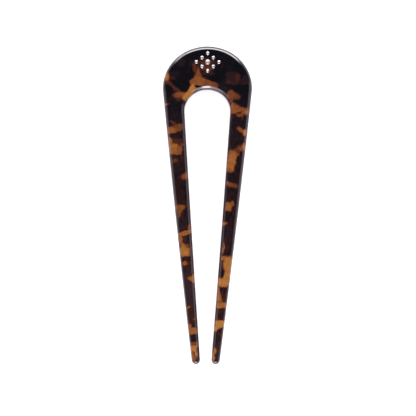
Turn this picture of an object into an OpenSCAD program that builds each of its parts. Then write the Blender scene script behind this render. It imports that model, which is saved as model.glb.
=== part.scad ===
// French hair pin: a flat U of tortoiseshell acetate with a broad round crown, two long tapering
// legs and rounded tips, and a lozenge of small domed silver studs set into the crown.
// It lies on its back: +Z is the front face, +Y the crown, and the origin is under its middle.
// All sizes are in millimetres.

/* [Outline] */
// Length from the top of the crown to the tips
pin_len = 130; // [110:1:150]
// Width of the crown at its widest
crown_w = 36.5; // [32:0.1:44]
// Height of the crown's rounded top above its widest part
crown_rise = 17; // [14:0.1:20]
// Outward bow of each leg's outer edge
outer_bow = 0.25; // [0:0.01:0.8]

/* [Slot] */
// Depth of the crown from its top to the slot
crown_depth = 17.6; // [15:0.1:22]
// Width of the slot at its widest
slot_w = 18.7; // [15:0.1:21]
// Height of the slot's rounded top above its widest part
slot_rise = 8.8; // [7:0.05:11]
// Outward bow of each leg's inner edge
inner_bow = 0.1; // [0:0.01:0.3]

/* [Tips] */
// Width of each leg where its tip starts to round
tip_w = 3.4; // [2.6:0.05:4]
// Gap between the tips
tip_gap = 4.7; // [4.4:0.05:8]

/* [Sheet] */
// Thickness of the crown
crown_t = 4; // [3.2:0.1:5]
// Thickness of the legs at their tips
tip_t = 3.2; // [2.6:0.1:4]
// Width of the softened edge along the front of the legs
front_edge = 1.1; // [0.6:0.05:1.25]
// Width of the softened edge round the front of the crown
crown_edge = 1.35; // [0.8:0.05:1.5]
// Width of the softened edge round the back
back_edge = 0.7; // [0.3:0.05:1]
// Fullness of the softened edges: 1 is a flat bevel and 2 a quarter round
edge_full = 1.3; // [1:0.1:2]

/* [Studs] */
// Diameter of the small studs
stud_d = 1.4; // [1:0.1:1.7]
// Diameter of the middle stud
mid_stud_d = 2; // [1.4:0.1:2.4]
// How deep the studs are set
stud_depth = 1.6; // [1:0.1:2.2]
// How far the domes stand above the crown
stud_rise = 0.3; // [0.15:0.05:0.45]
// Clearance round and under each stud in its hole
stud_fit = 0.05; // [0.02:0.01:0.1]
// Distance between the studs of one row
stud_step = 4.6; // [3.6:0.1:5.6]
// Distance between the rows of studs
row_step = 1.8; // [1.5:0.1:2]
// Distance from the top of the crown to the middle stud
stud_drop = 6.6; // [6.2:0.1:8.5]

/* [Hidden] */
// Steps of the mesh along half the arch, a leg and half a tip, and across an edge
arch_steps = 30;
leg_steps = 12;
tip_steps = 7;
edge_steps = 5;
half_steps = arch_steps + leg_steps + tip_steps;
loop_steps = 4 * half_steps;
$fn = 48;

// How far a hole is cut past the face it opens through
over = 1;

// Places along the length
top_y = pin_len / 2;
crown_y = top_y - crown_rise;
slot_y = top_y - crown_depth - slot_rise;
tip_r = tip_w / 2;
tip_x = tip_gap / 2 + tip_r;
tip_y = tip_r - top_y;

// The lozenge: every second place of a grid, out to two steps from its middle
reach = 2;
stud_places = [
    for (row = [reach:-1:-reach], col = [-reach:reach])
        if (abs(row) + abs(col) <= reach && (row + col) % 2 == 0)
            [col * stud_step / 2, top_y - stud_drop + row * row_step,
             row == 0 && col == 0 ? mid_stud_d : stud_d]
];

// Lean of a bowed edge from the length axis: sign is -1 at its arch end and 1 at its tip end
function lean(from_x, from_y, to_x, bow, sign) =
    atan((from_x - to_x + sign * 4 * bow) / (from_y - tip_y));

// Half an arch, from the centre line round to where it runs on as a leg that leans by turn
function arch(w, rise, y, turn) =
    let (end = atan(2 * rise / w * tan(turn)))
    [for (k = [0:arch_steps])
        let (a = 90 - (90 + end) * k / arch_steps)
        [w / 2 * cos(a), y + rise * sin(a)]];

// The edge of a leg between two points, without the first
function leg(from, to, bow) =
    [for (k = [1:leg_steps])
        let (s = k / leg_steps)
        from + (to - from) * s + [4 * bow * s * (1 - s), 0]];

// A point on the round of the right-hand tip
function on_tip(a) = [tip_x + tip_r * cos(a), tip_y + tip_r * sin(a)];

// Half a tip from one angle to another, without the first point
function tip(from, to) =
    [for (k = [1:tip_steps]) on_tip(from + (to - from) * k / tip_steps)];

outer_x = tip_x + tip_r;
inner_x = tip_x - tip_r;
outer_lean = lean(crown_w / 2, crown_y, outer_x, outer_bow, 1);
inner_lean = lean(slot_w / 2, slot_y, inner_x, inner_bow, 1);
apex = -90 - (outer_lean + inner_lean) / 2;
outer_arch = arch(crown_w, crown_rise, crown_y,
    lean(crown_w / 2, crown_y, outer_x, outer_bow, -1));
inner_arch = arch(slot_w, slot_rise, slot_y,
    lean(slot_w / 2, slot_y, inner_x, inner_bow, -1));

// The right half of the outline: both edges run from the centre line to the point of the tip
outer_half = concat(outer_arch,
    leg(outer_arch[arch_steps], on_tip(-outer_lean), outer_bow),
    tip(-outer_lean, apex));
inner_half = concat(inner_arch,
    leg(inner_arch[arch_steps], on_tip(-180 - inner_lean), inner_bow),
    tip(-180 - inner_lean, apex));

function flip(p) = [-p.x, p.y];

// The whole outline, clockwise as seen from the front, from the top of the crown
outline = concat(outer_half,
    [for (k = [half_steps - 1:-1:0]) inner_half[k]],
    [for (k = [1:half_steps]) flip(inner_half[k])],
    [for (k = [half_steps - 1:-1:1]) flip(outer_half[k])]);

function unit(v) = v / norm(v);

// The direction straight out of the outline at one of its points
function outward(k) =
    let (before = outline[(k + loop_steps - 1) % loop_steps],
         after = outline[(k + 1) % loop_steps],
         along = unit(unit(outline[k] - before) + unit(after - outline[k])))
    [-along.y, along.x];

// Thickness of the sheet: even over the crown, then thinner towards the tips
function thickness(y) =
    let (s = max(0, (slot_y - y) / (slot_y - tip_y)))
    crown_t - (crown_t - tip_t) * s * s;

// Width of the front's softened edge: it widens smoothly along the slot's arch to the crown's
function front_width(y) =
    let (s = min(1, max(0, (y - slot_y + slot_rise) / (2 * slot_rise))))
    front_edge + (crown_edge - front_edge) * s * s * (3 - 2 * s);

// Both softened edges as rings, in widths of the edge: how far in, how far from their face,
// and whether that is the front
function soft(c) = 1 - pow(c, 2 / edge_full);
quarter = [for (k = [0:edge_steps]) 90 * k / edge_steps];
rings = concat(
    [for (a = quarter) [soft(sin(a)), soft(cos(a)), false]],
    [for (a = quarter) [soft(cos(a)), soft(sin(a)), true]]);

normals = [for (k = [0:loop_steps - 1]) outward(k)];
pin_points = [for (r = rings, k = [0:loop_steps - 1])
    let (front = r[2],
         edge = front ? front_width(outline[k].y) : back_edge,
         p = outline[k] - edge * r[0] * normals[k],
         off = edge * r[1])
    [p.x, p.y, front ? thickness(p.y) - off : off]];

// The wall between two rings
wall_faces = [for (r = [0:len(rings) - 2], k = [0:loop_steps - 1], upper = [0, 1])
    let (low = r * loop_steps, high = low + loop_steps, next = (k + 1) % loop_steps)
    upper == 0 ? [low + k, low + next, high + next] : [low + k, high + next, high + k]];

// A face across the sheet, from each point to the one across the leg or crown from it
face_tris = [for (side = [0, 1], j = [0:half_steps - 1], far = [0, 1])
    let (a = 2 * half_steps * side + j,
         b = (2 * half_steps * (side + 1) - j) % loop_steps,
         b_next = 2 * half_steps * (side + 1) - j - 1)
    if (far == 1 || j < half_steps - 1)
        far == 0 ? [a, a + 1, b_next] : [a, b_next, b]];
front_start = (len(rings) - 1) * loop_steps;
front_faces = [for (t = face_tris) [t[0] + front_start, t[1] + front_start, t[2] + front_start]];
back_faces = [for (t = face_tris) [t[2], t[1], t[0]]];

// The blind hole of one stud
module stud_hole(place) {
    translate([place.x, place.y, crown_t - stud_depth - stud_fit])
        cylinder(d = place.z + 2 * stud_fit, h = stud_depth + stud_fit + over);
}

// The U-shaped body
module pin() {
    color("#3a2118")
        difference() {
            polyhedron(points = pin_points,
                faces = concat(wall_faces, front_faces, back_faces), convexity = 6);
            for (p = stud_places) stud_hole(p);
        }
}

// One domed stud: a round shank with a low dome that stands above the crown
module stud(k) {
    d = stud_places[k - 1].z;
    dome_r = (d * d / 4 + stud_rise * stud_rise) / (2 * stud_rise);
    color("#c9c6c8")
        translate([stud_places[k - 1].x, stud_places[k - 1].y, crown_t - stud_depth]) {
            cylinder(d = d, h = stud_depth);
            translate([0, 0, stud_depth])
                intersection() {
                    cylinder(d = d, h = stud_rise);
                    translate([0, 0, stud_rise - dome_r]) sphere(r = dome_r);
                }
        }
}

pin();
for (k = [1:len(stud_places)])
    stud(k);
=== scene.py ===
"""A french hair pin in tortoiseshell acetate, with a lozenge of domed silver studs in its crown.

The pin lies flat on its back on a pale studio floor and is seen from straight above. Its sizes are
written in millimetres and its meshes are made in metres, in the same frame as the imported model.
"""

import logging
import math
from dataclasses import dataclass, field, fields
from enum import Enum
from types import SimpleNamespace
from typing import Any, ClassVar, Sequence, Union

import bpy
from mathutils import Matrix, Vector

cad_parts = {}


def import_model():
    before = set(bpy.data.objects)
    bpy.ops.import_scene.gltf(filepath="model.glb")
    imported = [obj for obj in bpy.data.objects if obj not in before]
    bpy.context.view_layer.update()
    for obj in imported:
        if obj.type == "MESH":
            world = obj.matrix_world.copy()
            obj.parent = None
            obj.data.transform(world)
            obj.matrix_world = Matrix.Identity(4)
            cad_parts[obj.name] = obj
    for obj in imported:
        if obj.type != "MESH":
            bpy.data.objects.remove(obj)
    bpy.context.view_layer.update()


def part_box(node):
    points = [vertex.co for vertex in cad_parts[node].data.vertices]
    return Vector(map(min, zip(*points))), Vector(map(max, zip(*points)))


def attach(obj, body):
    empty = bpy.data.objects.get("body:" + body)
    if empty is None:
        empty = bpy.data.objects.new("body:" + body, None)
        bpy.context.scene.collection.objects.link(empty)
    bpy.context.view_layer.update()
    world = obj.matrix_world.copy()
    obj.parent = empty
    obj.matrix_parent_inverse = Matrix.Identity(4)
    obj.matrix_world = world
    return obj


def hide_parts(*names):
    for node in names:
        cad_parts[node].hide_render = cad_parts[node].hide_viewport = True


LOG = logging.getLogger("hair_pin")
MM = 0.001
ROOT = "root"
# Points nearer than this, in metres, become one
SEAM = 1e-6
# Faces that meet at more degrees than this keep a sharp edge
CREASE = 40.0
QUARTER_TURN = math.pi / 2
HALF_TURN = math.pi
# The highest elevation, in degrees: a panel that reaches it has no upper edge
ZENITH = 90.0
# Brings s * (1 - s) up to 1 in the middle of a run
PEAK = 4.0
# Half of one count, which keeps whole numbers clear of a limit
HALF_STEP = 0.5
# Small enough to count as nothing, and large enough to divide by
TINY = 1e-6
WHITE = (1.0, 1.0, 1.0, 1.0)

Amount = Union["Wire", float]
Node = bpy.types.Node
Source = Union[Node, bpy.types.NodeSocket]
Sizes = SimpleNamespace
Span = tuple[float, float]
Triple = tuple[float, float, float]
Colour = tuple[float, float, float, float]


class Detail(Enum):
    """How many finer layers a noise has."""

    COARSE = 1.0
    MEDIUM = 2.0
    FINE = 3.0


def outlet(value: Any) -> Any:
    """Give the socket of a wire, or a node's first one; anything else stays as it is."""
    if isinstance(value, Wire):
        return value.socket
    return value.outputs[0] if isinstance(value, Node) else value


def feed(tree: bpy.types.NodeTree, target: bpy.types.NodeSocket, value: Any) -> None:
    """Link something into an input, or write a constant there.

    Args:
        tree: The tree that the input is in.
        target: The input socket.
        value: A Wire, a node, an output socket, or a constant.
    """
    source = outlet(value)
    if isinstance(source, bpy.types.NodeSocket):
        tree.links.new(source, target)
    else:
        target.default_value = source


@dataclass(frozen=True, eq=False)
class Wire:
    """A number that flows through a node tree, so that a formula in Python lays its nodes."""

    tree: bpy.types.NodeTree
    socket: bpy.types.NodeSocket

    def math(self, operation: str, *values: Amount, clamp: bool = False) -> "Wire":
        """Add one Math node.

        Args:
            operation: The node's operation, in capitals.
            values: What goes into its inputs, in order.
            clamp: Whether the result is held between 0 and 1.

        Returns:
            The node's result.
        """
        node = self.tree.nodes.new("ShaderNodeMath")
        node.operation = operation
        node.use_clamp = clamp
        for target, value in zip(node.inputs, values):
            feed(self.tree, target, value)
        return Wire(self.tree, node.outputs[0])

    def __add__(self, other: Amount) -> "Wire":
        """Sum."""
        return self.math("ADD", self, other)

    def __sub__(self, other: Amount) -> "Wire":
        """Difference."""
        return self.math("SUBTRACT", self, other)

    def __rsub__(self, other: float) -> "Wire":
        """Difference from a plain number."""
        return self.math("SUBTRACT", other, self)

    def __mul__(self, other: Amount) -> "Wire":
        """Product."""
        return self.math("MULTIPLY", self, other)

    def __truediv__(self, other: Amount) -> "Wire":
        """Quotient."""
        return self.math("DIVIDE", self, other)

    def __rtruediv__(self, other: float) -> "Wire":
        """Quotient with a plain number on the left."""
        return self.math("DIVIDE", other, self)

    def __neg__(self) -> "Wire":
        """The same amount below zero."""
        return self.math("MULTIPLY", self, -1.0)

    def __abs__(self) -> "Wire":
        """The amount without its sign."""
        return self.math("ABSOLUTE", self)

    def power(self, exponent: Amount) -> "Wire":
        """Raise what isn't negative to a power."""
        return self.math("POWER", self.at_least(0.0), exponent)

    def at_least(self, floor: Amount) -> "Wire":
        """Hold from below."""
        return self.math("MAXIMUM", self, floor)

    def share(self, start: float, steps: float) -> "Wire":
        """Show how much of a run has passed, from 0 at its start to 1 after its steps."""
        return self.math("DIVIDE", self - start, steps, clamp=True)

    def below(self, limit: float) -> "Wire":
        """Give 1 below a limit and 0 above it."""
        return self.math("LESS_THAN", self, limit)

    def above(self, limit: float) -> "Wire":
        """Give 1 above a limit and 0 below it."""
        return self.math("GREATER_THAN", self, limit)

    def blend(self, other: Amount, mask: "Wire") -> "Wire":
        """Pass from this value, where the mask is 0, to another, where it is 1."""
        return self + (other - self) * mask

    def sine(self) -> "Wire":
        """Sine of an angle in radians."""
        return self.math("SINE", self)

    def cosine(self) -> "Wire":
        """Cosine of an angle in radians."""
        return self.math("COSINE", self)

    def angle_of(self) -> "Wire":
        """Angle in radians whose tangent this is."""
        return self.math("ARCTANGENT", self)

    def fade(self, low: float, high: float, top: float = 1.0) -> "Wire":
        """Rise smoothly between two levels.

        Args:
            low: The level where the result is 0; it may be above the other, for a fall.
            high: The level where the result is full.
            top: The full result.

        Returns:
            The smooth step.
        """
        node = self.tree.nodes.new("ShaderNodeMapRange")
        node.interpolation_type = "SMOOTHSTEP"
        for target, value in zip(node.inputs, (self, low, high, 0.0, top)):
            feed(self.tree, target, value)
        return Wire(self.tree, node.outputs[0])


class Board:
    """A node tree with short calls that lay its nodes."""

    def __init__(self, tree: bpy.types.NodeTree) -> None:
        """Take over a tree."""
        self.tree = tree

    @classmethod
    def blank(cls, owner: Union[bpy.types.Material, bpy.types.World]) -> "Board":
        """Empty the tree of a material or a world, and take it over."""
        owner.use_nodes = True
        owner.node_tree.nodes.clear()
        return cls(owner.node_tree)

    def add(self, kind: str, *values: Any, **settings: Any) -> Node:
        """Add a node.

        Args:
            kind: The node's type name.
            values: What goes into its inputs, in order; None leaves one as it is.
            settings: The node's properties, by name.

        Returns:
            The new node.
        """
        node = self.tree.nodes.new(kind)
        for name, setting in settings.items():
            setattr(node, name, setting)
        for target, value in zip(node.inputs, values):
            if value is not None:
                feed(self.tree, target, value)
        return node

    def into(self, node: Node, **values: Any) -> Node:
        """Feed a node's inputs by name.

        Args:
            node: The node.
            values: What goes into each input; an underscore stands for a space in its name.

        Returns:
            The same node.
        """
        for name, value in values.items():
            feed(self.tree, node.inputs[name.replace("_", " ")], value)
        return node

    def wire(self, source: Source) -> Wire:
        """Make a wire of an output socket, or of a node's first one."""
        return Wire(self.tree, outlet(source))

    def level(self, value: float) -> Wire:
        """Start a wire from a plain number."""
        source = self.add("ShaderNodeValue")
        source.outputs[0].default_value = value
        return self.wire(source)

    def vector(self, operation: str, *values: Any) -> Node:
        """Add one Vector Math node."""
        return self.add("ShaderNodeVectorMath", *values, operation=operation)

    def swirl(self, spot: Source, scale: float, detail: Detail, decay: float = 0.55) -> Node:
        """Add a noise node.

        Args:
            spot: Where on the piece, in millimetres.
            scale: How many swells it has to a millimetre.
            detail: How many finer layers it has.
            decay: How strong each layer is, as a share of the one before.

        Returns:
            The node.
        """
        return self.into(
            self.add("ShaderNodeTexNoise", spot), Scale=scale, Detail=detail.value, Roughness=decay
        )

    def noise(self, spot: Source, scale: float, detail: Detail) -> Wire:
        """Add a noise node, and give its strength, about 0.5 on average."""
        return self.wire(self.swirl(spot, scale, detail))

    def split(self, vector: Source) -> tuple[Wire, ...]:
        """Take a vector apart into its three parts."""
        return tuple(self.wire(part) for part in self.add("ShaderNodeSeparateXYZ", vector).outputs)

    def join(self, *parts: Amount) -> Node:
        """Put a vector together from its three parts."""
        return self.add("ShaderNodeCombineXYZ", *parts)

    def coat(self, relief: Wire, **looks: Any) -> None:
        """Put out a material's shader.

        Args:
            relief: The height of its surface, in millimetres.
            looks: What goes into each input of the shader, named as for into.
        """
        bump = self.into(self.add("ShaderNodeBump"), Distance=MM, Height=relief)
        shader = self.into(self.add("ShaderNodeBsdfPrincipled"), Normal=bump, **looks)
        self.add("ShaderNodeOutputMaterial", shader)


class Recipe(Board):
    """A Geometry Nodes tree with a named input for each size, and the piece it is worked into."""

    def __init__(self, name: str) -> None:
        """Start an empty tree for the piece of that name."""
        super().__init__(bpy.data.node_groups.new(name, "GeometryNodeTree"))
        self.name = name
        self.inlet = self.tree.nodes.new("NodeGroupInput")
        self.values: dict[str, float] = {}
        self.tree.interface.new_socket(
            "Geometry", in_out="OUTPUT", socket_type="NodeSocketGeometry"
        )

    def sizes(self, owner: Any) -> Sizes:
        """Add a named input for each size of a sub-assembly.

        Args:
            owner: A dataclass whose fields with metadata "unit" are sizes.

        Returns:
            A wire for each size, under its field's name.
        """
        wires = {}
        for spec in fields(owner):
            if "unit" not in spec.metadata:
                continue
            label = spec.name.replace("_", " ").capitalize()
            if label not in self.inlet.outputs:
                slot = self.tree.interface.new_socket(
                    label, in_out="INPUT", socket_type="NodeSocketFloat"
                )
                self.values[slot.identifier] = getattr(owner, spec.name) * spec.metadata["unit"]
            wires[spec.name] = self.wire(self.inlet.outputs[label])
        return Sizes(**wires)

    def sheet(self, rows: int, columns: int) -> tuple[Node, Wire, Wire]:
        """Lay a flat net of faces, ready to be drawn into a shape.

        Args:
            rows: Steps one way.
            columns: Steps the other way.

        Returns:
            The net, and the two counts of each of its points from one corner.
        """
        net = self.add("GeometryNodeMeshGrid", rows, columns, rows + 1, columns + 1)
        count = self.wire(self.add("GeometryNodeInputIndex"))
        row = count.math("FLOOR", (count + HALF_STEP) / (columns + 1))
        return net, row, count - row * (columns + 1)

    def draw(self, net: Source, place: Source) -> Node:
        """Move each point of a net to its place, and close the seams of the shape."""
        moved = self.add("GeometryNodeSetPosition", net, None, place)
        return self.into(self.add("GeometryNodeMergeByDistance", moved), Distance=SEAM)

    def work(self, shape: Source, finish: bpy.types.Material) -> bpy.types.Object:
        """Finish the tree, run it, and keep its result as a plain mesh.

        Args:
            shape: The geometry to put out.
            finish: The material that dresses it.

        Returns:
            The piece, at the origin, with no modifier left.
        """
        real = self.add("GeometryNodeRealizeInstances", shape)
        smooth = self.add("GeometryNodeSetShadeSmooth", real, domain="FACE")
        bend = self.wire(self.add("GeometryNodeInputMeshEdgeAngle"))
        crease = bend.above(math.radians(CREASE))
        sharp = self.add("GeometryNodeSetShadeSmooth", smooth, crease, False, domain="EDGE")
        self.add("NodeGroupOutput", sharp)

        piece = bpy.data.objects.new(self.name, bpy.data.meshes.new(self.name + "_blank"))
        bpy.context.scene.collection.objects.link(piece)
        modifier = piece.modifiers.new(self.name, "NODES")
        modifier.node_group = self.tree
        for identifier, value in self.values.items():
            modifier[identifier] = value
        graph = bpy.context.evaluated_depsgraph_get()
        mesh = bpy.data.meshes.new_from_object(piece.evaluated_get(graph), depsgraph=graph)
        mesh.name = self.name
        mesh.materials.clear()
        mesh.materials.append(finish)
        piece.modifiers.remove(modifier)
        piece.data = mesh
        return piece


def size(value: float, unit: float = MM) -> Any:
    """Declare a field that becomes a named input of its piece's tree.

    Args:
        value: The size as a maker gives it.
        unit: What one of it is in the tree, by default a millimetre in metres.

    Returns:
        The dataclass field.
    """
    return field(default=value, metadata={"unit": unit})


class ChipForm(Enum):
    """How a chip of amber is cut; a wedge points along its lean, and a cloud has no firm edge."""

    ROUND = 1
    BLOCK = 2
    WEDGE = 3
    CLOUD = 4


@dataclass(frozen=True)
class Chip:
    """A chip of the pressed sheet, seen on the front face, in millimetres and degrees."""

    x: float
    y: float
    long: float
    wide: float
    lean: float = 0.0
    tone: float = 1.0
    form: ChipForm = ChipForm.ROUND


BLOCK, WEDGE, CLOUD = ChipForm.BLOCK, ChipForm.WEDGE, ChipForm.CLOUD

# Each chip's middle, length, width, lean, tone and cut; the origin is under the pin's middle
CROWN_CHIPS = (
    Chip(-16.6, 52.2, 3.8, 2.0, 80, 0.80),
    Chip(-16.3, 50.3, 2.2, 1.6, 60, 0.40),
    Chip(-14.6, 52.0, 2.6, 1.4, -20, 0.26),
    Chip(-13.4, 47.8, 5.4, 0.9, -42, 0.37, BLOCK),
    Chip(-11.4, 44.9, 5.8, 2.8, 2, 0.60),
    Chip(-9.7, 44.8, 3.0, 2.2, 20, 0.70),
    Chip(-11.3, 43.1, 2.4, 1.0, 0, 0.34),
    Chip(-7.2, 45.95, 7.5, 2.2, 50, 0.90, BLOCK),
    Chip(-6.1, 48.3, 2.4, 2.0, 60, 0.92),
    Chip(-5.0, 50.2, 4.2, 3.4, 40, 0.65, BLOCK),
    Chip(-3.0, 50.5, 4.4, 3.6, -15, 0.68, BLOCK),
    Chip(1.2, 49.5, 6.0, 2.2, -20, 0.59, BLOCK),
    Chip(-3.8, 53.4, 9.0, 7.0, 92, 0.61, WEDGE),
    Chip(-5.3, 56.2, 4.4, 1.7, 103, 0.42),
    Chip(-0.4, 57.8, 8.6, 5.6, 0, 0.40, CLOUD),
    Chip(-0.4, 55.7, 5.2, 1.8, 0, 0.46),
    Chip(0.2, 53.9, 4.2, 1.5, 0, 0.30),
    Chip(-10.8, 58.0, 4.4, 3.8, 30, 0.12, CLOUD),
    Chip(-13.5, 53.6, 5.0, 2.4, 0, 0.09, CLOUD),
    Chip(10.3, 51.9, 6.0, 5.0, 0, 0.175, BLOCK),
    Chip(10.2, 50.2, 5.8, 1.8, 0, 0.24),
    Chip(12.5, 50.6, 9.6, 2.6, 0, 0.13),
    Chip(12.2, 52.1, 4.0, 1.9, 90, 0.33),
    Chip(8.4, 50.2, 2.0, 1.6, 0, 0.30),
    Chip(15.3, 51.3, 3.8, 2.6, 90, 0.15),
    Chip(15.4, 49.9, 2.6, 1.0, 20, 0.20),
    Chip(6.4, 48.2, 6.0, 2.0, -38, 0.10, CLOUD),
    Chip(9.8, 44.85, 4.1, 4.0, 40, 0.56, BLOCK),
    Chip(11.8, 44.5, 3.8, 3.0, -35, 0.48),
    Chip(12.0, 40.5, 7.0, 5.0, -10, 0.64, WEDGE),
    Chip(9.7, 42.7, 1.6, 2.0, 0, 0.54),
    Chip(10.4, 39.2, 3.0, 3.6, 0, 0.66, BLOCK),
    Chip(13.4, 38.7, 8.0, 3.0, -6, 0.63, BLOCK),
    Chip(16.0, 38.3, 3.2, 1.8, 92, 0.72),
    Chip(13.4, 36.8, 3.2, 1.6, 0, 0.55),
    Chip(14.2, 36.0, 1.6, 0.8, 88, 0.34),
    Chip(10.0, 36.1, 2.4, 0.8, 85, 0.32),
    Chip(-16.5, 41.3, 2.8, 2.6, 10, 0.78, WEDGE),
)

LEFT_LEG_CHIPS = (
    Chip(-13.9, 33.5, 2.9, 1.1, -30, 0.42),
    Chip(-14.6, 30.5, 4.0, 2.7, 8, 0.68, BLOCK),
    Chip(-12.5, 31.3, 5.4, 2.9, 12, 0.54, BLOCK),
    Chip(-10.7, 31.6, 2.2, 2.4, 20, 0.44),
    Chip(-14.9, 28.4, 2.0, 1.7, 0, 0.40),
    Chip(-14.7, 27.4, 1.4, 1.2, 0, 0.32),
    Chip(-12.3, 25.9, 4.8, 3.0, -6, 0.35, BLOCK),
    Chip(-13.9, 23.0, 4.2, 4.6, -6, 0.76, BLOCK),
    Chip(-11.8, 22.5, 3.4, 4.2, -6, 0.62, BLOCK),
    Chip(-15.0, 25.7, 4.6, 1.8, 93, 0.72),
    Chip(-10.2, 24.6, 1.4, 1.2, 0, 0.54),
    Chip(-13.0, 18.1, 2.7, 1.6, 10, 0.48),
    Chip(-13.4, 19.2, 1.6, 1.4, 0, 0.26),
    Chip(-10.9, 18.0, 1.5, 1.2, 0, 0.22),
    Chip(-10.0, 19.3, 1.4, 1.3, 0, 0.30),
    Chip(-14.4, 17.5, 1.8, 1.2, 90, 0.32),
    Chip(-9.0, 11.8, 3.8, 3.0, 10, 0.57),
    Chip(-10.9, 11.3, 1.6, 1.0, 0, 0.32),
    Chip(-8.4, 12.0, 1.8, 2.9, 5, 0.60),
    Chip(-11.6, 5.0, 12.0, 3.8, 93, 0.17, CLOUD),
    Chip(-10.2, 3.1, 2.2, 1.6, 0, 0.16, CLOUD),
    Chip(-10.9, -0.9, 3.6, 1.6, 3, 0.60, BLOCK),
    Chip(-11.2, -3.4, 8.8, 5.0, -99, 0.60, WEDGE),
    Chip(-9.1, -0.5, 2.0, 1.0, 8, 0.44),
    Chip(-7.1, -8.6, 2.0, 1.3, 90, 0.58),
    Chip(-7.8, -8.6, 1.7, 1.7, 0, 0.26),
    Chip(-9.2, -11.4, 5.6, 1.5, 19, 0.74, BLOCK),
    Chip(-7.1, -10.2, 1.9, 1.4, 60, 0.62),
    Chip(-10.5, -13.9, 3.8, 1.4, 97, 0.70),
    Chip(-9.4, -13.9, 3.0, 2.2, -12, 0.36),
    Chip(-8.9, -19.0, 4.4, 4.1, 0, 0.86, BLOCK),
    Chip(-9.7, -15.9, 4.8, 4.4, 112, 0.80, WEDGE),
    Chip(-8.0, -16.5, 1.6, 1.6, 0, 0.56),
    Chip(-6.2, -19.0, 3.2, 1.4, 92, 0.32),
    Chip(-8.8, -23.7, 2.6, 2.0, 0, 0.66),
    Chip(-6.6, -23.7, 1.3, 1.1, 0, 0.34),
    Chip(-7.8, -25.4, 1.4, 1.2, 0, 0.22),
    Chip(-6.1, -29.8, 5.0, 7.4, 180, 0.80, WEDGE),
    Chip(-7.0, -39.2, 3.0, 2.6, 90, 0.22, CLOUD),
    Chip(-7.2, -41.6, 1.1, 1.1, 0, 0.74),
    Chip(-7.7, -42.5, 1.0, 0.8, 60, 0.60),
    Chip(-6.0, -45.6, 10.5, 4.0, 95, 0.28, CLOUD),
    Chip(-4.8, -46.6, 0.6, 0.6, 0, 0.52),
    Chip(-5.4, -51.3, 3.7, 2.8, 14, 0.74, BLOCK),
    Chip(-6.5, -49.6, 2.9, 1.7, 105, 0.70),
    Chip(-4.7, -56.8, 4.6, 1.9, 0, 0.54, BLOCK),
    Chip(-4.8, -58.5, 3.3, 2.5, -10, 0.92, BLOCK),
    Chip(-3.5, -57.3, 2.6, 1.2, 95, 0.68),
    Chip(-5.3, -61.6, 4.4, 1.2, 96, 0.72),
    Chip(-3.9, -60.7, 2.2, 0.9, 98, 0.92),
    Chip(-4.4, -62.4, 3.0, 1.9, 92, 0.62),
)

RIGHT_LEG_CHIPS = (
    Chip(14.0, 30.7, 3.2, 1.2, -34, 0.62, BLOCK),
    Chip(15.3, 29.9, 2.8, 1.6, 84, 0.84),
    Chip(14.9, 23.8, 3.6, 1.6, 80, 0.74),
    Chip(13.0, 22.9, 4.6, 2.4, 36, 0.46, BLOCK),
    Chip(13.9, 23.0, 2.0, 1.8, 0, 0.66),
    Chip(9.9, 18.2, 9.4, 4.0, 78, 0.76, BLOCK),
    Chip(11.8, 20.8, 3.0, 2.2, 30, 0.60),
    Chip(10.6, 8.7, 7.0, 3.8, -9, 0.58, WEDGE),
    Chip(10.6, 8.3, 4.0, 2.0, -12, 0.50, BLOCK),
    Chip(8.5, 9.3, 1.4, 1.6, 0, 0.62),
    Chip(10.6, 4.8, 1.4, 1.2, 0, 0.20),
    Chip(9.3, 2.4, 1.6, 1.3, 0, 0.20),
    Chip(8.9, -0.5, 3.7, 2.5, 84, 0.72, BLOCK),
    Chip(10.1, 0.5, 2.2, 2.0, 18, 0.64, BLOCK),
    Chip(7.6, -7.2, 4.4, 4.2, 12, 0.78, WEDGE),
    Chip(11.3, -6.7, 2.2, 1.4, 90, 0.20),
    Chip(6.9, -17.3, 2.4, 0.35, 82, 0.72),
    Chip(6.4, -24.0, 6.4, 0.8, 84, 0.32),
    Chip(8.8, -23.9, 6.8, 3.9, 84, 0.86, BLOCK),
    Chip(7.1, -21.5, 1.8, 1.5, 0, 0.74, BLOCK),
    Chip(8.5, -28.0, 5.4, 2.7, 84, 0.86, BLOCK),
    Chip(7.0, -31.3, 4.6, 3.9, 0, 0.92, BLOCK),
    Chip(4.5, -34.3, 13.0, 6.0, 90, 0.76, WEDGE),
    Chip(7.0, -38.2, 0.7, 0.5, 0, 0.48),
    Chip(6.2, -40.8, 4.2, 2.3, 0, 0.80, BLOCK),
    Chip(5.7, -48.4, 4.2, 2.8, -3, 0.94, BLOCK),
    Chip(4.6, -49.65, 3.8, 1.8, 34, 0.90, BLOCK),
    Chip(3.8, -59.4, 1.9, 0.9, 98, 0.78),
    Chip(3.1, -61.9, 3.8, 1.0, 86, 0.90),
    Chip(4.2, -44.8, 0.6, 0.5, 0, 0.44),
    Chip(4.5, -46.0, 1.2, 0.5, 60, 0.36),
)

# Places inside the amber that stay dark
DARK_ISLANDS = (
    Chip(-3.6, 48.2, 1.8, 0.7, 0),
    Chip(13.2, 37.9, 0.6, 0.2, 10, 0.85),
    Chip(-14.3, 28.2, 1.4, 1.0, 0),
    Chip(6.7, -26.9, 3.2, 1.6, 84, 0.62, CLOUD),
    Chip(6.6, -27.7, 1.2, 0.8, 70, 0.50),
    Chip(-3.2, -59.0, 0.9, 0.3, 90),
)

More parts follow.
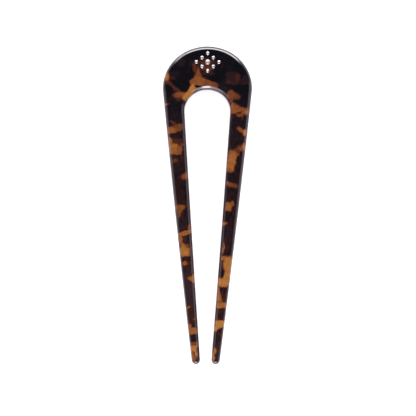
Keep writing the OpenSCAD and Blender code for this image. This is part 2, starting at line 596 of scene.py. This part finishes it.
# Painted reflection: places where a greyish-lilac sheen is painted over the dark, standing in for
# the pale surround that the legs reflect
PAINTED_SHEEN_PLACES = (
    Chip(-7.4, -34.0, 18.0, 6.4, 95, 0.85, CLOUD),
    Chip(-9.9, -6.4, 7.0, 3.4, 95, 0.20, CLOUD),
    Chip(8.7, -12.0, 10.0, 5.0, 84, 0.28, CLOUD),
    Chip(4.4, -60.5, 8.0, 3.4, 86, 0.75, CLOUD),
    Chip(-4.7, -61.2, 4.0, 1.6, 94, 0.90, CLOUD),
    Chip(-12.3, 16.0, 5.0, 3.4, 95, 0.14, CLOUD),
    Chip(6.1, 58.5, 9.0, 7.0, -40, 0.05, CLOUD),
)


@dataclass(frozen=True)
class Tortoiseshell:
    """Polished acetate, pressed from amber and near-black chips, with lengths in millimetres."""

    slot: ClassVar[str] = "tortoiseshell"
    # The sheet's colour at each tone, from near-black to the palest amber
    tones: tuple[tuple[float, Triple], ...] = (
        (0.00, (0.0004, 0.0007, 0.0011)),
        (0.10, (0.0042, 0.0024, 0.0031)),
        (0.22, (0.0100, 0.0035, 0.0027)),
        (0.36, (0.0230, 0.0060, 0.0031)),
        (0.50, (0.0475, 0.0146, 0.0050)),
        (0.66, (0.0900, 0.0287, 0.0069)),
        (0.80, (0.1280, 0.0484, 0.0108)),
        (0.90, (0.1560, 0.0650, 0.0132)),
        (1.00, (0.1760, 0.0780, 0.0151)),
    )
    # How many chips are laid before the chart is pushed aside, and how far it is pushed
    layer: int = 20
    push: float = 0.05
    # How far a chip's tone spreads past its edge, and how far in it is full, also as a share
    feather: float = 0.42
    shading: float = 1.10
    deepest: float = 0.60
    # How the outlines wander: swells to a millimetre and how far they reach
    wander: tuple[Span, ...] = ((0.50, 0.60), (1.7, 0.24))
    wander_decay: float = 0.5
    # How far the chips lean across the pin and along it for each millimetre under this height
    slant_from: float = 2.6
    slant: Span = (0.9, 1.7)
    mottle: float = 0.50
    mottle_scale: float = 0.9
    cloud_tone: float = 0.10
    cloud_scale: float = 0.22
    cloud_fade: Span = (0.52, 0.75)
    # Brown that shows through the dark, and the runs along the pin in which it comes up
    crown_glow: float = 0.012
    leg_glow: float = 0.12
    leg_run: Span = (50.0, 24.0)
    tip_glow: float = 0.07
    tip_run: Span = (12.0, -44.0)
    # Lengthwise streaks in that brown
    streak_scale: float = 1.5
    streak_length: float = 0.30
    streak_fade: Span = (0.36, 0.66)
    streak_depth: float = 1.4
    streak_floor: float = 0.3
    # The painted sheen's colour, a reflection of the pale surround painted into the sheet, and the
    # tones between which it clears
    milk: Colour = (0.0105, 0.0070, 0.0092, 1.0)
    milk_fade: Span = (0.40, 0.20)
    # The gloss, and what dulls it: handling, hairlines and worn edges
    index: float = 1.58
    polish: float = 0.085
    haze: float = 0.06
    haze_scale: float = 0.35
    hairline_haze: float = 0.05
    edge_haze: float = 0.03
    # The slight waves of a buffed sheet
    ripple: float = 0.02
    ripple_scale: float = 0.16
    # Hairlines left by polishing: their two leans, how they are stretched, and how few show
    hairline_leans: Span = (62.0, 118.0)
    hairline_stretch: Triple = (0.12, 5.0, 1.0)
    hairline_fade: Span = (0.64, 0.72)
    hairline_depth: float = 0.0006

    def dress(self) -> bpy.types.Material:
        """Lay the shader.

        Returns:
            The material.
        """
        material = bpy.data.materials.new("pressed_acetate")
        board = Board.blank(material)
        place = board.add("ShaderNodeTexCoord").outputs["Object"]
        x, y, z = (part / MM for part in board.split(place))
        depth = (self.slant_from - z).at_least(0.0)
        flow = board.join(x + depth * self.slant[0], y + depth * self.slant[1], z)
        chart = self.drift(board, flow)
        tone = self.pattern(board, chart, flow)

        along = board.join(x, y * self.streak_length, z)
        streak = board.noise(along, self.streak_scale, Detail.FINE).fade(*self.streak_fade)
        glow = (
            y.fade(*self.leg_run, self.leg_glow) + y.fade(*self.tip_run, self.tip_glow)
            + self.crown_glow
        )
        brown = glow * (streak * self.streak_depth + self.streak_floor)
        tone = tone.at_least(brown)
        # Painted reflection: a greyish-lilac sheen is mixed into the colour over the dark,
        # clearing over the amber
        sheen_cover = self.cover(board, chart, PAINTED_SHEEN_PLACES, board.level(0.0))
        sheen_share = sheen_cover * tone.fade(*self.milk_fade)
        base = board.add("ShaderNodeMixRGB", sheen_share, self.colour(board, tone), self.milk)

        lines = self.hairlines(board, flow)
        worn = board.wire(
            board.add("ShaderNodeAttribute", attribute_name=PinBody.worn_name).outputs["Fac"]
        )
        handled = board.noise(flow, self.haze_scale, Detail.FINE) * self.haze
        rough = (
            handled + lines * self.hairline_haze + worn * self.edge_haze
            + (self.polish - self.haze / 2)
        )
        waves = board.noise(flow, self.ripple_scale, Detail.COARSE) * self.ripple
        relief = waves + lines * -self.hairline_depth
        board.coat(relief, Base_Color=base, Roughness=rough, IOR=self.index)
        return material

    def drift(self, board: Board, flow: Source) -> Node:
        """Let the chips' outlines wander as the sheet flowed in its press.

        Args:
            board: The material's tree.
            flow: Where on the piece, in millimetres.

        Returns:
            The place in the chips' flat chart.
        """
        spot = board.vector("MULTIPLY", flow, (1, 1, 0))
        for scale, reach in self.wander:
            swirl = board.swirl(flow, scale, Detail.COARSE, self.wander_decay).outputs["Color"]
            whole, back = (2 * reach, 2 * reach, 0), (-reach, -reach, 0)
            spot = board.vector("ADD", spot, board.vector("MULTIPLY_ADD", swirl, whole, back))
        return spot

    @staticmethod
    def reach(board: Board, frame: Source, form: ChipForm) -> tuple[Wire, int]:
        """Measure how far out of a chip's middle a place is; its edge is at 1.

        Args:
            board: The material's tree.
            frame: The place along and across the chip, as shares of half its sizes.
            form: How the chip is cut.

        Returns:
            The measure, and the power of a length that it grows with.
        """
        if form is WEDGE:
            # The flanks run from the point, at 1 along, to the corners of the base, at -1
            along, across, _ = board.split(frame)
            return (abs(across) + along * 0.5 + 0.5).at_least(-along), 1
        if form is BLOCK:
            frame = board.vector("MULTIPLY", frame, frame)
        square = board.vector("DOT_PRODUCT", frame, frame).outputs["Value"]
        return board.wire(square), 4 if form is BLOCK else 2

    def cover(self, board: Board, spot: Source, chips: Sequence[Chip], top: Wire) -> Wire:
        """Lay chips over each other; the strongest shows.

        Args:
            board: The material's tree.
            spot: The place in the chips' flat chart.
            chips: The chips.
            top: The tone that they are laid on.

        Returns:
            The tone with them.
        """
        for chip in chips:
            frame = board.add(
                "ShaderNodeMapping", spot, (chip.x, chip.y, 0), (0, 0, math.radians(chip.lean)),
                (chip.long / 2, chip.wide / 2, 1), vector_type="TEXTURE",
            )
            reach, power = self.reach(board, frame, chip.form)
            half = min(chip.long, chip.wide) / 2
            depth = half if chip.form is CLOUD else min(self.shading, half * self.deepest)
            inner, outer = (1 - depth / half) ** power, (1 + self.feather / half) ** power
            top = top.at_least(reach.fade(outer, inner, chip.tone))
        return top

    def pattern(self, board: Board, spot: Source, flow: Source) -> Wire:
        """Work out how amber the sheet is.

        Args:
            board: The material's tree.
            spot: The place in the chips' flat chart.
            flow: Where on the piece, in millimetres.

        Returns:
            The tone, from 0 for near-black to 1 for the palest amber.
        """
        chips = CROWN_CHIPS + LEFT_LEG_CHIPS + RIGHT_LEG_CHIPS
        amber = board.level(0.0)
        for first in range(0, len(chips), self.layer):
            amber = self.cover(board, spot, chips[first:first + self.layer], amber)
            spot = board.vector("MULTIPLY_ADD", amber, (self.push, -self.push, 0), spot)
        amber = amber * (1.0 - self.cover(board, spot, DARK_ISLANDS, board.level(0.0)))
        swells = board.noise(flow, self.mottle_scale, Detail.FINE)
        mottle = swells * self.mottle + (1 - self.mottle / 2)
        drifts = board.noise(flow, self.cloud_scale, Detail.MEDIUM)
        cloud = drifts.fade(*self.cloud_fade, self.cloud_tone)
        return (amber * mottle).at_least(cloud)

    def colour(self, board: Board, tone: Wire) -> Node:
        """Turn a tone into the sheet's colour.

        Args:
            board: The material's tree.
            tone: The tone, from 0 to 1.

        Returns:
            The colour.
        """
        node = board.add("ShaderNodeValToRGB", tone)
        stops = node.color_ramp.elements
        for level, colour in self.tones:
            stop = {0.0: stops[0], 1.0: stops[-1]}.get(level) or stops.new(level)
            stop.color = (*colour, 1.0)
        return node

    def hairlines(self, board: Board, flow: Source) -> Wire:
        """Rule fine polishing hairlines two ways over the sheet.

        Args:
            board: The material's tree.
            flow: Where on the piece, in millimetres.

        Returns:
            Their strength, 0 where there is none.
        """
        lines = board.level(0.0)
        for lean in self.hairline_leans:
            turned = board.add(
                "ShaderNodeMapping", flow, None, (0, 0, math.radians(lean)), self.hairline_stretch
            )
            line = board.noise(turned, 1.0, Detail.MEDIUM).fade(*self.hairline_fade)
            lines = lines.at_least(line)
        return lines


@dataclass(frozen=True)
class PolishedSilver:
    """Bright silver wire with its heads domed and buffed."""

    slot: ClassVar[str] = "silver"
    colour: Colour = (0.29, 0.28, 0.29, 1.0)
    tarnish: Colour = (0.25, 0.24, 0.235, 1.0)
    tarnish_scale: float = 1.2
    polish: float = 0.36
    haze: float = 0.14
    grain_scale: float = 4.0
    grain_depth: float = 0.01

    def dress(self) -> bpy.types.Material:
        """Lay the shader.

        Returns:
            The material.
        """
        material = bpy.data.materials.new("buffed_silver")
        board = Board.blank(material)
        place = board.add("ShaderNodeTexCoord").outputs["Object"]
        spot = board.vector("MULTIPLY", place, (1 / MM,) * 3)
        grain = board.noise(spot, self.grain_scale, Detail.FINE)
        dulled = board.noise(spot, self.tarnish_scale, Detail.MEDIUM)
        tint = board.add("ShaderNodeMixRGB", dulled, self.colour, self.tarnish)
        rough = grain * self.haze + self.polish
        board.coat(grain * self.grain_depth, Base_Color=tint, Roughness=rough, Metallic=1.0)
        return material


@dataclass(frozen=True)
class Rim:
    """A point of the outer or inner outline, and the direction straight out of the sheet there."""

    x: Wire
    y: Wire
    out_x: Wire
    out_y: Wire


@dataclass
class CrownStuds:
    """Domed silver studs in a lozenge, every second place of a grid, set into the crown."""

    crown_thickness: float = size(4.0)
    crown_top: float = size(65.0)
    stud_width: float = size(1.4)
    middle_width: float = size(2.0)
    stud_depth: float = size(1.6)
    dome_rise: float = size(0.3)
    fit: float = size(0.05)
    stud_step: float = size(4.6)
    row_step: float = size(1.8)
    drop: float = size(6.6)
    reach: ClassVar[int] = 2
    over: ClassVar[float] = 1.0
    turns: ClassVar[int] = 40
    dome_steps: ClassVar[int] = 9
    shank_steps: ClassVar[int] = 3

    @property
    def nodes(self) -> list[str]:
        """Names of the plain studs that the lozenge stands for."""
        return [f"stud_{k + 1}" for k in range((self.reach + 1) ** 2)]

    def lozenge(self, recipe: Recipe, s: Sizes, form: Source, grow: Wire) -> Node:
        """Set a form at every place of the lozenge.

        Args:
            recipe: The tree.
            s: The tree's sizes.
            form: What is set there, with its foot at the origin.
            grow: How much wider the middle one is.

        Returns:
            The forms, each in its place.
        """
        side = 2 * self.reach
        net, column, row = recipe.sheet(side, side)
        column, row = column - self.reach, row - self.reach
        away = abs(column) + abs(row)
        parity = column + row + HALF_STEP
        even = parity.math("FLOORED_MODULO", parity, 2.0).below(1.0)
        spot = recipe.join(
            column * s.stud_step * 0.5,
            s.crown_top - s.drop + row * s.row_step,
            s.crown_thickness - s.stud_depth,
        )
        points = recipe.add("GeometryNodeSetPosition", net, None, spot)
        wide = recipe.level(1.0).blend(grow, away.below(HALF_STEP))
        chosen = even * away.below(self.reach + HALF_STEP)
        return recipe.into(
            recipe.add("GeometryNodeInstanceOnPoints", points, chosen, form),
            Scale=recipe.join(wide, wide, 1.0),
        )

    def holes(self, recipe: Recipe, s: Sizes) -> Node:
        """Make the drills that leave the studs' blind holes.

        Args:
            recipe: The tree.
            s: The tree's sizes.

        Returns:
            The drills, each in its place.
        """
        bore = s.stud_width + s.fit * 2
        height = s.stud_depth + s.fit + self.over * MM
        drill = recipe.into(
            recipe.add("GeometryNodeMeshCylinder", self.turns), Radius=bore * 0.5, Depth=height
        )
        lift = recipe.join(0.0, 0.0, height * 0.5 - s.fit)
        raised = recipe.add("GeometryNodeSetPosition", drill, None, None, lift)
        return self.lozenge(recipe, s, raised, (s.middle_width + s.fit * 2) / bore)

    def build(self, finish: PolishedSilver) -> bpy.types.Object:
        """Make the nine studs as one piece.

        Args:
            finish: Their finish.

        Returns:
            The piece.
        """
        recipe = Recipe("crown_studs")
        s = recipe.sizes(self)
        # Down the dome and the shank, and one last step in to the middle of the foot
        net, turn, down = recipe.sheet(self.turns, self.dome_steps + self.shank_steps + 1)
        angle = turn * (2 * HALF_TURN / self.turns)
        half = s.stud_width * 0.5
        ball = (half * half + s.dome_rise * s.dome_rise) / (s.dome_rise * 2)
        lean = half / ball
        bend = lean.math("ARCSINE", lean) * down.share(0.0, self.dome_steps)
        shank = down.share(self.dome_steps, self.shank_steps)
        foot = down.share(self.dome_steps + self.shank_steps, 1)
        radius = ball * bend.sine() * (1.0 - foot)
        height = s.stud_depth + s.dome_rise - ball * (1.0 - bend.cosine()) - s.stud_depth * shank
        place = recipe.join(radius * angle.cosine(), radius * angle.sine(), height)
        stud = recipe.add("GeometryNodeFlipFaces", recipe.draw(net, place))
        set_in = self.lozenge(recipe, s, stud, s.middle_width / s.stud_width)
        return recipe.work(set_in, finish.dress())


@dataclass
class PinBody:
    """The flat U of acetate: a broad round crown, two long tapering legs and rounded tips."""

    length: float = size(130.0)
    crown_width: float = size(36.5)
    crown_thickness: float = size(4.0)
    crown_rise: float = size(17.0)
    outer_bow: float = size(0.25)
    crown_depth: float = size(17.6)
    slot_width: float = size(18.7)
    slot_rise: float = size(8.8)
    inner_bow: float = size(0.1)
    tip_width: float = size(3.4)
    tip_gap: float = size(4.7)
    tip_thickness: float = size(3.2)
    front_edge: float = size(1.1)
    crown_edge: float = size(1.35)
    back_edge: float = size(0.7)
    edge_fullness: float = size(1.3, 1.0)
    worn_name: ClassVar[str] = "worn_edge"
    arch_steps: ClassVar[int] = 110
    leg_steps: ClassVar[int] = 60
    tip_steps: ClassVar[int] = 22
    side_steps: ClassVar[int] = 2
    edge_steps: ClassVar[int] = 14
    face_steps: ClassVar[int] = 6

    @property
    def half_steps(self) -> int:
        """Steps from the top of the crown to the point of a tip."""
        return self.arch_steps + self.leg_steps + self.tip_steps

    @property
    def quarter_steps(self) -> int:
        """Steps round a quarter of the sheet's cross-section."""
        return self.side_steps + self.edge_steps + self.face_steps

    def rim(self, s: Sizes, along: Wire, outer: bool) -> Rim:
        """Draw the outer or inner outline of the right-hand half.

        Args:
            s: The tree's sizes and the places worked out from them.
            along: How far round the outline the point is, in steps from the centre line.
            outer: Whether this is the outer outline.

        Returns:
            The point and the direction out of the sheet.
        """
        if outer:
            width, rise, level, bow = s.crown_width, s.crown_rise, s.crown_level, s.outer_bow
            turn, start, out = s.outer_turn, -s.outer_lean, 1.0
        else:
            width, rise, level, bow = s.slot_width, s.slot_rise, s.slot_level, s.inner_bow
            turn, start, out = s.inner_turn, -HALF_TURN - s.inner_lean, -1.0
        half = width * 0.5
        arch = along.share(0.0, self.arch_steps)
        leg = along.share(self.arch_steps, self.leg_steps)
        tip = along.share(self.arch_steps + self.leg_steps, self.tip_steps)

        end = (rise / half * turn.math("TANGENT", turn)).angle_of()
        angle = QUARTER_TURN - (end + QUARTER_TURN) * arch
        heel_x, heel_y = half * end.cosine(), level - rise * end.sine()
        span_x = s.tip_x + s.tip_radius * start.cosine() - heel_x
        span_y = s.tip_y + s.tip_radius * start.sine() - heel_y
        round_to = start + (s.apex - start) * tip
        x = (
            half * angle.cosine() + span_x * leg + bow * PEAK * leg * (1.0 - leg)
            + s.tip_radius * (round_to.cosine() - start.cosine())
        )
        y = (
            level + rise * angle.sine() + span_y * leg
            + s.tip_radius * (round_to.sine() - start.sine())
        )

        on_leg = along.above(self.arch_steps)
        on_tip = along.above(self.arch_steps + self.leg_steps)
        way_x = (rise * angle.cosine() * out).blend(span_y * -out, on_leg)
        way_y = (half * angle.sine() * out).blend(
            (span_x + bow * PEAK * (1.0 - leg * 2.0)) * out, on_leg
        )
        way_x, way_y = way_x.blend(round_to.cosine(), on_tip), way_y.blend(round_to.sine(), on_tip)
        reach = (way_x * way_x + way_y * way_y).power(0.5)
        return Rim(x, y, way_x / reach, way_y / reach)

    @staticmethod
    def places(s: Sizes) -> None:
        """Work out the places that both outlines share, and keep them with the sizes.

        Args:
            s: The tree's sizes; the places are added to it.
        """
        s.top = s.length * 0.5
        s.crown_level = s.top - s.crown_rise
        s.slot_level = s.top - s.crown_depth - s.slot_rise
        s.tip_radius = s.tip_width * 0.5
        s.tip_x = s.tip_gap * 0.5 + s.tip_radius
        s.tip_y = s.tip_radius - s.top
        for side, half, foot, level, bow in (
            ("outer", s.crown_width * 0.5, s.tip_x + s.tip_radius, s.crown_level, s.outer_bow),
            ("inner", s.slot_width * 0.5, s.tip_x - s.tip_radius, s.slot_level, s.inner_bow),
        ):
            drop = level - s.tip_y
            setattr(s, side + "_turn", ((half - foot - bow * PEAK) / drop).angle_of())
            setattr(s, side + "_lean", ((half - foot + bow * PEAK) / drop).angle_of())
        s.apex = -QUARTER_TURN - (s.outer_lean + s.inner_lean) * 0.5

    @staticmethod
    def soft(s: Sizes, part: Wire) -> Wire:
        """Give how far a softened edge falls short of its corner."""
        return 1.0 - part.power(2.0 / s.edge_fullness)

    def build(self, finish: Tortoiseshell, studs: CrownStuds) -> bpy.types.Object:
        """Make the body and drill the studs' holes.

        Args:
            finish: The sheet's finish.
            studs: The studs that it carries.

        Returns:
            The piece.
        """
        recipe = Recipe("acetate_body")
        s, held = recipe.sizes(self), recipe.sizes(studs)
        self.places(s)
        quarter = self.quarter_steps
        # From the left tip round the crown to the right, and round the sheet from the outer wall
        net, length_way, ring = recipe.sheet(2 * self.half_steps, 4 * quarter)
        length_way = length_way - self.half_steps
        side, along = length_way.math("SIGN", length_way), abs(length_way)
        outer, inner = self.rim(s, along, True), self.rim(s, along, False)

        front = ring.below(2.0 * quarter)
        on_outer = abs(ring - 2.0 * quarter).above(quarter)
        step = ring.math("PINGPONG", ring, quarter)
        up = step.share(0.0, self.side_steps)
        over = step.share(self.side_steps, self.edge_steps)
        face = step.share(self.side_steps + self.edge_steps, self.face_steps)
        face = face * face

        crown = inner.y.blend(outer.y, on_outer).fade(
            s.slot_level - s.slot_rise, s.slot_level + s.slot_rise
        )
        edge = s.back_edge.blend(s.front_edge.blend(s.crown_edge, crown), front)
        inset = edge * self.soft(s, (over * QUARTER_TURN).cosine())
        fall = edge * self.soft(s, (over * QUARTER_TURN).sine())
        out_x = inner.out_x.blend(outer.out_x, on_outer)
        out_y = inner.out_y.blend(outer.out_y, on_outer)
        near_x = inner.x.blend(outer.x, on_outer) - edge * out_x
        near_y = inner.y.blend(outer.y, on_outer) - edge * out_y
        mid_x = (outer.x + inner.x - edge * (outer.out_x + inner.out_x)) * 0.5
        mid_y = (outer.y + inner.y - edge * (outer.out_y + inner.out_y)) * 0.5
        x = (near_x.blend(mid_x, face) + (edge - inset) * out_x) * side
        y = near_y.blend(mid_y, face) + (edge - inset) * out_y
        thin = ((s.slot_level - y) / (s.slot_level - s.tip_y)).at_least(0.0)
        thick = s.crown_thickness - (s.crown_thickness - s.tip_thickness) * thin * thin
        middle = thick * 0.5
        z = middle.blend(fall.blend(thick - fall, front), up)
        marked = recipe.add(
            "GeometryNodeStoreNamedAttribute", net, None, self.worn_name,
            over * (1.0 - over) * PEAK, data_type="FLOAT", domain="POINT",
        )
        body = recipe.add("GeometryNodeFlipFaces", recipe.draw(marked, recipe.join(x, y, z)))
        cut = recipe.add("GeometryNodeMeshBoolean", operation="DIFFERENCE", solver="MANIFOLD")
        recipe.into(cut, Mesh_1=body, Mesh_2=studs.holes(recipe, held))
        return recipe.work(cut, finish.dress())


@dataclass(frozen=True)
class Panel:
    """A large soft panel far off, as a patch of the sky, in degrees.

    Its spread is half its width, and its edges fade over soft. As a glow it shines its strength
    times white, and as a screen it takes that share of the surround away.
    """

    towards: float
    spread: float
    low: float
    high: float
    soft: float
    strength: float


@dataclass(frozen=True)
class Studio:
    """A pale floor, soft light all round and a camera straight above; lengths in millimetres."""

    height: float = 360.0
    aim_x: float = 0.53
    aim_y: float = -1.08
    roll: float = 0.37
    lens: float = 75.6
    nearest: float = 10.0
    floor_size: float = 6000.0
    floor_gap: float = 0.02
    floor_tone: float = 0.50
    floor_light: float = 0.45
    # The surround, and the dark place overhead: its tone, its tilt, its core and its rim
    surround: float = 1.26
    surround_tint: Colour = (1.0, 0.885, 1.08, 1.0)
    overhead: float = 0.07
    overhead_lean: float = 8.0
    overhead_core: float = 22.0
    overhead_rim: float = 44.0
    # Dark screens at the sides of the legs
    screens: tuple[Panel, ...] = (
        Panel(towards=34.0, spread=16.0, low=3.0, high=ZENITH, soft=4.0, strength=0.85),
        Panel(towards=156.0, spread=20.0, low=3.0, high=ZENITH, soft=4.0, strength=0.80),
        Panel(towards=-36.0, spread=27.5, low=2.0, high=ZENITH, soft=3.0, strength=0.75),
        Panel(towards=-163.0, spread=8.5, low=2.0, high=ZENITH, soft=3.0, strength=0.90),
    )
    # Glows beyond the crown, then below the tips
    glow_tint: Colour = (1.0, 0.935, 0.97, 1.0)
    glows: tuple[Panel, ...] = (
        Panel(towards=91.0, spread=39.0, low=-4.0, high=13.0, soft=6.0, strength=12.0),
        Panel(towards=82.0, spread=30.0, low=13.0, high=30.0, soft=6.0, strength=12.0),
        Panel(towards=90.0, spread=38.0, low=33.0, high=64.0, soft=5.0, strength=9.0),
        Panel(towards=-92.0, spread=38.0, low=1.0, high=36.0, soft=14.0, strength=3.3),
        Panel(towards=-87.0, spread=8.0, low=8.0, high=54.0, soft=5.0, strength=14.0),
    )
    # What the camera itself sees past the floor
    backdrop: float = 1.0

    def lay_floor(self) -> None:
        """Lay the floor just under the pin."""
        half, level = self.floor_size * MM / 2, -self.floor_gap * MM
        corners = [(x * half, y * half, level) for x, y in ((-1, -1), (1, -1), (1, 1), (-1, 1))]
        mesh = bpy.data.meshes.new("studio_floor")
        mesh.from_pydata(corners, [], [(0, 1, 2, 3)])
        floor = bpy.data.objects.new("studio_floor", mesh)
        bpy.context.scene.collection.objects.link(floor)
        material = bpy.data.materials.new("pale_floor")
        board = Board.blank(material)
        paint = board.add("ShaderNodeBsdfDiffuse", (*(self.floor_tone,) * 3, 1.0))
        lamp = board.add("ShaderNodeEmission", WHITE, self.floor_light)
        board.add("ShaderNodeOutputMaterial", board.add("ShaderNodeAddShader", paint, lamp))
        mesh.materials.append(material)

    @staticmethod
    def patch(way: tuple[Wire, ...], panel: Panel) -> Wire:
        """Work out where in the sky a panel is.

        Args:
            way: The direction's parts to the right, to the crown, upwards and along the floor.
            panel: The panel.

        Returns:
            1 on the panel, falling softly to 0 round it.
        """
        x, y, z, level = way
        turn = math.radians(panel.towards)
        facing = (x * math.cos(turn) + y * math.sin(turn)) / level
        patch = facing.fade(
            math.cos(math.radians(panel.spread + panel.soft)),
            math.cos(math.radians(panel.spread - panel.soft)),
        )
        low, high, soft = (math.radians(a) for a in (panel.low, panel.high, panel.soft))
        patch = patch * z.fade(math.sin(low - soft / 2), math.sin(low + soft / 2))
        if panel.high < ZENITH:
            patch = patch * z.fade(math.sin(high + soft / 2), math.sin(high - soft / 2))
        return patch

    def light(self) -> None:
        """Make the sky: pale, with glows, screens and a dark place above; plain to the camera."""
        world = bpy.data.worlds.new("soft_studio")
        bpy.context.scene.world = world
        board = Board.blank(world)
        x, y, z = board.split(board.add("ShaderNodeTexCoord").outputs["Generated"])
        lean = math.radians(self.overhead_lean)
        aim = y * math.sin(lean) + z * math.cos(lean)
        rim, core = (math.cos(math.radians(a)) for a in (self.overhead_rim, self.overhead_core))
        surround = self.surround - aim.fade(rim, core, self.surround - self.overhead)
        way = (x, y, z, (x * x + y * y).power(0.5).at_least(TINY))
        for screen in self.screens:
            surround = surround * (1.0 - self.patch(way, screen) * screen.strength)
        glows = board.level(0.0)
        for glow in self.glows:
            glows = glows + self.patch(way, glow) * glow.strength
        sky = board.add("ShaderNodeBackground", self.surround_tint, surround)
        lit = board.add("ShaderNodeBackground", self.glow_tint, glows)
        both = board.add("ShaderNodeAddShader", sky, lit)
        plain = board.add("ShaderNodeBackground", WHITE, self.backdrop)
        seen = board.add("ShaderNodeLightPath").outputs["Is Camera Ray"]
        board.add("ShaderNodeOutputWorld", board.add("ShaderNodeMixShader", seen, both, plain))

    def set_camera(self) -> None:
        """Hang the camera straight above the pin, with the crown at the top of the picture."""
        camera = bpy.data.objects.new("camera", bpy.data.cameras.new("camera"))
        camera.location = (self.aim_x * MM, self.aim_y * MM, self.height * MM)
        camera.rotation_euler.z = math.radians(self.roll)
        camera.data.lens = self.lens
        camera.data.clip_start = self.nearest * MM
        bpy.context.scene.collection.objects.link(camera)
        bpy.context.scene.camera = camera
        bpy.context.scene.view_settings.view_transform = "Standard"


def show(piece: bpy.types.Object, slot: str, nodes: Sequence[str]) -> None:
    """Tie a piece to the frame and report it.

    Args:
        piece: The piece.
        slot: The record's material slot that it takes its finish from.
        nodes: The plain nodes that it stands for.
    """
    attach(piece, ROOT)
    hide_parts(*nodes)
    LOG.info("%s: %d faces, finish %s", piece.name, len(piece.data.polygons), slot)


def main() -> None:
    """Build the pin, piece by piece, and its studio."""
    logging.basicConfig(level=logging.INFO, format="%(name)s %(message)s")
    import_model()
    low, high = (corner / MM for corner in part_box("pin"))
    studs = CrownStuds(crown_thickness=high.z, crown_top=high.y)
    body = PinBody(length=high.y - low.y, crown_width=high.x - low.x, crown_thickness=high.z)
    sheet, silver = Tortoiseshell(), PolishedSilver()
    show(body.build(sheet, studs), sheet.slot, ["pin"])
    show(studs.build(silver), silver.slot, studs.nodes)
    studio = Studio()
    studio.lay_floor()
    studio.light()
    studio.set_camera()


if __name__ == "__main__":
    main()
